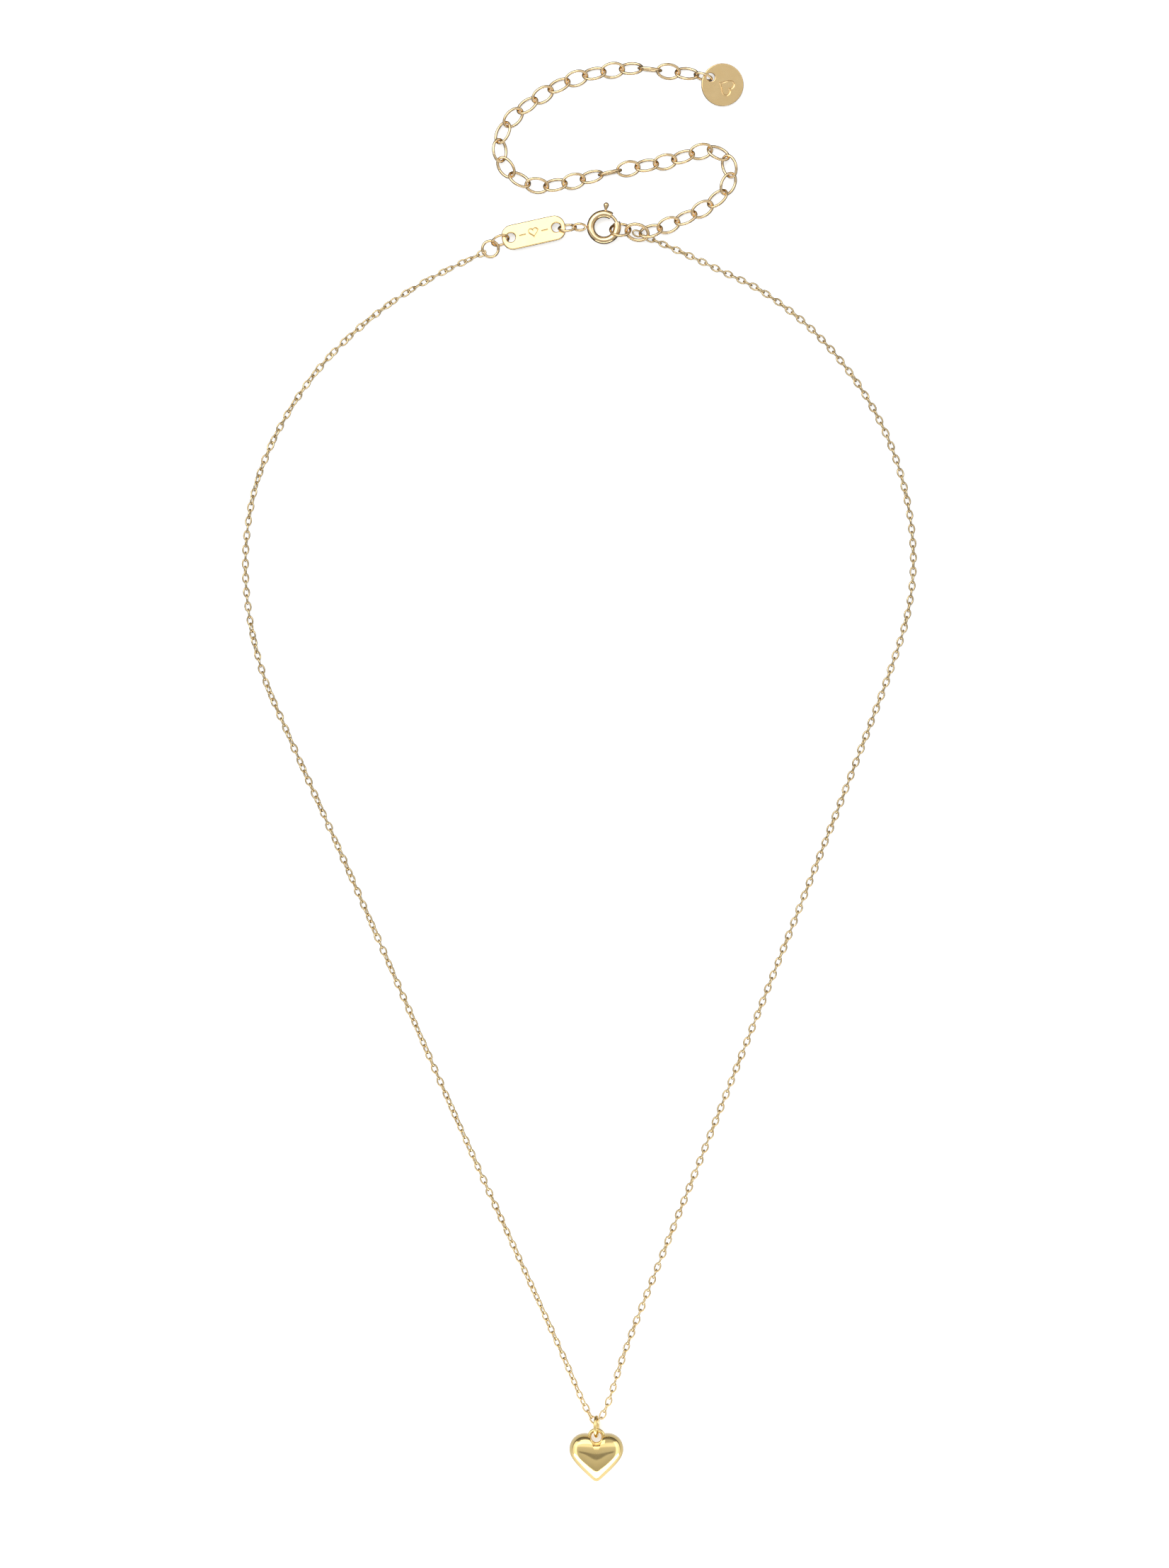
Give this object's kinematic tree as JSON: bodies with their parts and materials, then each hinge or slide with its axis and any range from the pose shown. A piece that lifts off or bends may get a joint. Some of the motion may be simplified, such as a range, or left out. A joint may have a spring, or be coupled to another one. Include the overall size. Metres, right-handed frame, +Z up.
{
  "type": "pendant necklace",
  "caption": "Fine gold cable-chain necklace with a puffed heart pendant, spring-ring clasp, small bar tag and an extender chain ending in a tag.",
  "frame": {"origin": "middle of the necklace's outline as it lies flat, on the surface it lies on", "axes": "+Y from the heart towards the clasp and extender, +Z up off the surface, +X to the right seen from above"},
  "size_m": [0.1079, 0.2269, 0.0033],
  "materials": {
    "chain_gold": "polished pale gold, fine drawn wire",
    "extender_gold": "polished pale gold wire",
    "clasp_gold": "polished pale gold",
    "tag_gold": "brightly polished flat pale gold",
    "heart_gold": "mirror-polished yellow gold",
    "spring_steel": "drawn spring wire"
  },
  "bodies": {
    "clasp_end": {"left_jump_ring": "clasp_gold", "bar_ring_left": "clasp_gold", "bar_ring_right": "clasp_gold", "clasp_tube": "clasp_gold", "clasp_eye": "clasp_gold", "clasp_spring": "spring_steel", "hook_link": "clasp_gold", "connector_link": "clasp_gold"},
    "left_upper": {"chain_left_upper": "chain_gold"},
    "left_lower": {"chain_left_lower": "chain_gold", "centre_link": "chain_gold"},
    "right_half": {"chain_right_upper": "chain_gold", "chain_right_lower": "chain_gold"},
    "bar": {"bar_tag": "tag_gold"},
    "gate": {"clasp_gate": "clasp_gold", "clasp_lever": "clasp_gold"},
    "pendant_ring": {"pendant_ring": "heart_gold"},
    "heart": {"heart_front_shell": "heart_gold", "heart_back_plate": "heart_gold", "heart_eye": "heart_gold"},
    "extender_link_01": {"extender_link_01": "extender_gold"},
    "extender_link_02": {"extender_link_02": "extender_gold"},
    "extender_link_03": {"extender_link_03": "extender_gold"},
    "extender_link_04": {"extender_link_04": "extender_gold"},
    "extender_link_05": {"extender_link_05": "extender_gold"},
    "extender_link_06": {"extender_link_06": "extender_gold"},
    "extender_link_07": {"extender_link_07": "extender_gold"},
    "extender_link_08": {"extender_link_08": "extender_gold"},
    "extender_link_09": {"extender_link_09": "extender_gold"},
    "extender_link_10": {"extender_link_10": "extender_gold"},
    "extender_link_11": {"extender_link_11": "extender_gold"},
    "extender_link_12": {"extender_link_12": "extender_gold"},
    "extender_link_13": {"extender_link_13": "extender_gold"},
    "extender_link_14": {"extender_link_14": "extender_gold"},
    "extender_link_15": {"extender_link_15": "extender_gold"},
    "extender_link_16": {"extender_link_16": "extender_gold"},
    "extender_link_17": {"extender_link_17": "extender_gold"},
    "extender_link_18": {"extender_link_18": "extender_gold"},
    "extender_link_19": {"extender_link_19": "extender_gold"},
    "extender_link_20": {"extender_link_20": "extender_gold"},
    "extender_link_21": {"extender_link_21": "extender_gold"},
    "extender_link_22": {"extender_link_22": "extender_gold"},
    "extender_link_23": {"extender_link_23": "extender_gold"},
    "extender_link_24": {"extender_link_24": "extender_gold"},
    "extender_link_25": {"extender_link_25": "extender_gold"},
    "extender_link_26": {"extender_link_26": "extender_gold"},
    "extender_link_27": {"extender_link_27": "extender_gold"},
    "extender_link_28": {"extender_link_28": "extender_gold"},
    "extender_link_29": {"extender_link_29": "extender_gold"},
    "extender_link_30": {"extender_link_30": "extender_gold"},
    "extender_link_31": {"extender_link_31": "extender_gold"},
    "extender_link_32": {"extender_link_32": "extender_gold"},
    "extender_link_33": {"extender_link_33": "extender_gold"},
    "tag_ring": {"tag_ring": "extender_gold"},
    "end_tag": {"end_tag": "tag_gold"}
  },
  "joints": [
    {"name": "gate_swing", "type": "hinge", "parent": "clasp_end", "child": "gate", "pos_m": [0.00395, 0.08685, 0.0012], "axis": [0, 0, 1], "range_deg": [0, 36], "stiffness_Nm_per_rad": 0.00002, "springref_deg": -17.19, "deforming": ["clasp_spring"]},
    {"name": "left_chain_swing", "type": "hinge", "parent": "clasp_end", "child": "left_upper", "pos_m": [-0.01535, 0.08278, 0.0006], "axis": [0, 0, 1], "range_deg": [-7, 7]},
    {"name": "left_chain_bend", "type": "hinge", "parent": "left_upper", "child": "left_lower", "pos_m": [-0.05168, 0.04559, 0.0006], "axis": [0, 0, 1], "range_deg": [-2.9, 2.9]},
    {"name": "right_chain_swing", "type": "hinge", "parent": "clasp_end", "child": "right_half", "pos_m": [0.00775, 0.08645, 0.0006], "axis": [0, 0, 1], "range_deg": [-4.8, 4.8]},
    {"name": "pendant_lift", "type": "hinge", "parent": "left_lower", "child": "pendant_ring", "pos_m": [0.00275, -0.10398, 0.00132], "axis": [-1, 0, 0], "range_deg": [0, 60]},
    {"name": "heart_swing", "type": "hinge", "parent": "pendant_ring", "child": "heart", "pos_m": [0.00275, -0.10612, 0.00143], "axis": [0, 0, 1], "range_deg": [-25, 25]},
    {"name": "bar_roll", "type": "hinge", "parent": "clasp_end", "child": "bar", "pos_m": [-0.00727, 0.08596, 0.0011], "axis": [0.977, 0.213, 0], "range_deg": [-12, 12]},
    {"name": "link_01_swing", "type": "hinge", "parent": "clasp_end", "child": "extender_link_01", "pos_m": [0.01001, 0.0858, 0.00108], "axis": [0, 0, 1], "range_deg": [-16, 9]},
    {"name": "link_02_swing", "type": "hinge", "parent": "extender_link_01", "child": "extender_link_02", "pos_m": [0.01287, 0.08661, 0.00108], "axis": [0, 0, -1], "range_deg": [-12, 24]},
    {"name": "link_03_swing", "type": "hinge", "parent": "extender_link_02", "child": "extender_link_03", "pos_m": [0.01565, 0.08771, 0.00108], "axis": [0, 0, 1], "range_deg": [-24, 10]},
    {"name": "link_04_swing", "type": "hinge", "parent": "extender_link_03", "child": "extender_link_04", "pos_m": [0.01836, 0.08897, 0.00108], "axis": [0, 0, -1], "range_deg": [-8, 24]},
    {"name": "link_05_swing", "type": "hinge", "parent": "extender_link_04", "child": "extender_link_05", "pos_m": [0.02096, 0.09043, 0.00108], "axis": [0, 0, 1], "range_deg": [-24, 8]},
    {"name": "link_06_swing", "type": "hinge", "parent": "extender_link_05", "child": "extender_link_06", "pos_m": [0.0232, 0.0924, 0.00108], "axis": [0, 0, -1], "range_deg": [-7, 24]},
    {"name": "link_07_swing", "type": "hinge", "parent": "extender_link_06", "child": "extender_link_07", "pos_m": [0.02439, 0.09513, 0.00108], "axis": [0, 0, 1], "range_deg": [-24, 6]},
    {"name": "link_08_swing", "type": "hinge", "parent": "extender_link_07", "child": "extender_link_08", "pos_m": [0.02356, 0.09799, 0.00108], "axis": [0, 0, -1], "range_deg": [-6, 24]},
    {"name": "link_09_swing", "type": "hinge", "parent": "extender_link_08", "child": "extender_link_09", "pos_m": [0.02088, 0.0993, 0.00108], "axis": [0, 0, 1], "range_deg": [-24, 8]},
    {"name": "link_10_swing", "type": "hinge", "parent": "extender_link_09", "child": "extender_link_10", "pos_m": [0.01799, 0.09856, 0.00108], "axis": [0, 0, -1], "range_deg": [-8, 24]},
    {"name": "link_11_swing", "type": "hinge", "parent": "extender_link_10", "child": "extender_link_11", "pos_m": [0.01519, 0.09755, 0.00108], "axis": [0, 0, 1], "range_deg": [-24, 10]},
    {"name": "link_12_swing", "type": "hinge", "parent": "extender_link_11", "child": "extender_link_12", "pos_m": [0.01227, 0.09695, 0.00108], "axis": [0, 0, -1], "range_deg": [-12, 24]},
    {"name": "link_13_swing", "type": "hinge", "parent": "extender_link_12", "child": "extender_link_13", "pos_m": [0.00932, 0.09644, 0.00108], "axis": [0, 0, 1], "range_deg": [-24, 12]},
    {"name": "link_14_swing", "type": "hinge", "parent": "extender_link_13", "child": "extender_link_14", "pos_m": [0.00639, 0.09585, 0.0014], "axis": [0, 0, -1], "range_deg": [-16, 24]},
    {"name": "link_15_swing", "type": "hinge", "parent": "extender_link_14", "child": "extender_link_15", "pos_m": [0.00346, 0.09521, 0.0014], "axis": [0, 0, 1], "range_deg": [-24, 20]},
    {"name": "link_16_swing", "type": "hinge", "parent": "extender_link_15", "child": "extender_link_16", "pos_m": [0.00057, 0.0945, 0.00108], "axis": [0, 0, -1], "range_deg": [-24, 20]},
    {"name": "link_17_swing", "type": "hinge", "parent": "extender_link_16", "child": "extender_link_17", "pos_m": [-0.00233, 0.09383, 0.00108], "axis": [0, 0, 1], "range_deg": [-16, 24]},
    {"name": "link_18_swing", "type": "hinge", "parent": "extender_link_17", "child": "extender_link_18", "pos_m": [-0.00526, 0.09331, 0.00108], "axis": [0, 0, -1], "range_deg": [-24, 14]},
    {"name": "link_19_swing", "type": "hinge", "parent": "extender_link_18", "child": "extender_link_19", "pos_m": [-0.00823, 0.09367, 0.00108], "axis": [0, 0, 1], "range_deg": [-10, 24]},
    {"name": "link_20_swing", "type": "hinge", "parent": "extender_link_19", "child": "extender_link_20", "pos_m": [-0.01081, 0.09517, 0.00108], "axis": [0, 0, -1], "range_deg": [-24, 12]},
    {"name": "link_21_swing", "type": "hinge", "parent": "extender_link_20", "child": "extender_link_21", "pos_m": [-0.01257, 0.09758, 0.00108], "axis": [0, 0, 1], "range_deg": [-10, 24]},
    {"name": "link_22_swing", "type": "hinge", "parent": "extender_link_21", "child": "extender_link_22", "pos_m": [-0.0128, 0.10056, 0.00108], "axis": [0, 0, -1], "range_deg": [-24, 8]},
    {"name": "link_23_swing", "type": "hinge", "parent": "extender_link_22", "child": "extender_link_23", "pos_m": [-0.0116, 0.10329, 0.00108], "axis": [0, 0, 1], "range_deg": [-8, 24]},
    {"name": "link_24_swing", "type": "hinge", "parent": "extender_link_23", "child": "extender_link_24", "pos_m": [-0.00946, 0.10538, 0.00108], "axis": [0, 0, -1], "range_deg": [-24, 10]},
    {"name": "link_25_swing", "type": "hinge", "parent": "extender_link_24", "child": "extender_link_25", "pos_m": [-0.00707, 0.10715, 0.00108], "axis": [0, 0, 1], "range_deg": [-10, 24]},
    {"name": "link_26_swing", "type": "hinge", "parent": "extender_link_25", "child": "extender_link_26", "pos_m": [-0.00457, 0.10877, 0.00108], "axis": [0, 0, -1], "range_deg": [-24, 12]},
    {"name": "link_27_swing", "type": "hinge", "parent": "extender_link_26", "child": "extender_link_27", "pos_m": [-0.0019, 0.11012, 0.00108], "axis": [0, 0, 1], "range_deg": [-12, 24]},
    {"name": "link_28_swing", "type": "hinge", "parent": "extender_link_27", "child": "extender_link_28", "pos_m": [0.00094, 0.11104, 0.00108], "axis": [0, 0, -1], "range_deg": [-24, 12]},
    {"name": "link_29_swing", "type": "hinge", "parent": "extender_link_28", "child": "extender_link_29", "pos_m": [0.00386, 0.11166, 0.00108], "axis": [0, 0, 1], "range_deg": [-16, 24]},
    {"name": "link_30_swing", "type": "hinge", "parent": "extender_link_29", "child": "extender_link_30", "pos_m": [0.00681, 0.1121, 0.00108], "axis": [0, 0, -1], "range_deg": [-24, 16]},
    {"name": "link_31_swing", "type": "hinge", "parent": "extender_link_30", "child": "extender_link_31", "pos_m": [0.00979, 0.11216, 0.0014], "axis": [0, 0, 1], "range_deg": [-24, 24]},
    {"name": "link_32_swing", "type": "hinge", "parent": "extender_link_31", "child": "extender_link_32", "pos_m": [0.01276, 0.11182, 0.0014], "axis": [0, 0, -1], "range_deg": [-24, 24]},
    {"name": "link_33_swing", "type": "hinge", "parent": "extender_link_32", "child": "extender_link_33", "pos_m": [0.01572, 0.11152, 0.00108], "axis": [0, 0, 1], "range_deg": [-24, 24]},
    {"name": "tag_ring_swing", "type": "hinge", "parent": "extender_link_33", "child": "tag_ring", "pos_m": [0.01868, 0.1112, 0.00108], "axis": [0, 0, 1], "range_deg": [-12, 12]},
    {"name": "end_tag_swing", "type": "hinge", "parent": "tag_ring", "child": "end_tag", "pos_m": [0.02098, 0.11075, 0.00112], "axis": [0, 0, -1], "range_deg": [-12, 12]}
  ],
  "couplings": [
    {"joint": "left_chain_bend", "follows": "left_chain_swing", "ratio": -0.398},
    {"joint": "right_chain_swing", "follows": "left_chain_swing", "ratio": 0.668}
  ]
}
